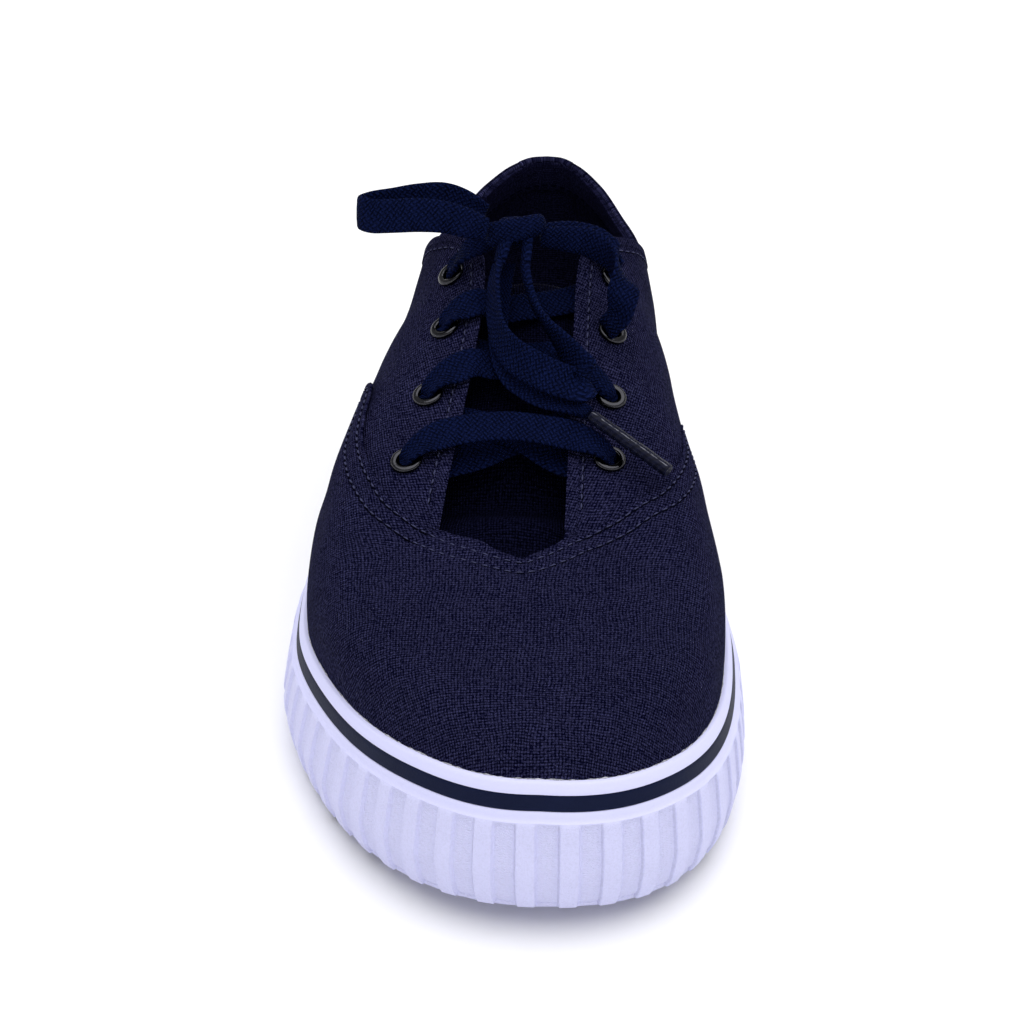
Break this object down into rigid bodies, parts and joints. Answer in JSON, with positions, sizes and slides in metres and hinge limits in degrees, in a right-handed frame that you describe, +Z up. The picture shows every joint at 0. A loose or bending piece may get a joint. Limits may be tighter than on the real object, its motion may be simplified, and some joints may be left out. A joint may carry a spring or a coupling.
{
  "type": "canvas lace-up sneaker",
  "caption": "Low canvas lace-up sneaker, right shoe, navy upper on a white ribbed rubber sidewall, with an open collar and a tied bow.",
  "frame": {"origin": "on the ground, under the middle of the shoe's length and width", "axes": "+Z up; +Y from toe to heel; +X to the inner (medial) side of the right shoe"},
  "size_m": [0.1122, 0.2898, 0.1101],
  "materials": {
    "canvas": "plain-woven cotton canvas, navy",
    "lining": "cotton twill lining, dark navy",
    "sidewall_rubber": "matte white vulcanised rubber",
    "sole_rubber": "matte white rubber, lugged",
    "lace_cotton": "flat woven cotton lace, navy",
    "eyelet_metal": "black nickel plated eyelets, glossy",
    "aglet_plastic": "clear film over navy lace, glossy"
  },
  "bodies": {
    "root": {"outsole": "sole_rubber", "sidewall": "sidewall_rubber", "insole": "lining", "upper": "canvas", "tongue": "canvas", "eyelet_lateral_1": "eyelet_metal", "eyelet_medial_1": "eyelet_metal", "eyelet_lateral_2": "eyelet_metal", "eyelet_medial_2": "eyelet_metal", "eyelet_lateral_3": "eyelet_metal", "eyelet_medial_3": "eyelet_metal", "eyelet_lateral_4": "eyelet_metal", "eyelet_medial_4": "eyelet_metal", "lace_bar": "lace_cotton", "lace_cross_lower": "lace_cotton", "lace_cross_middle": "lace_cotton", "lace_cross_upper": "lace_cotton", "lace_slack": "lace_cotton", "lace_top_lateral": "lace_cotton", "lace_top_medial": "lace_cotton", "lace_knot": "lace_cotton", "lace_loop_lateral": "lace_cotton", "lace_loop_front": "lace_cotton", "lace_end": "lace_cotton", "aglet": "aglet_plastic"}
  },
  "joints": []
}
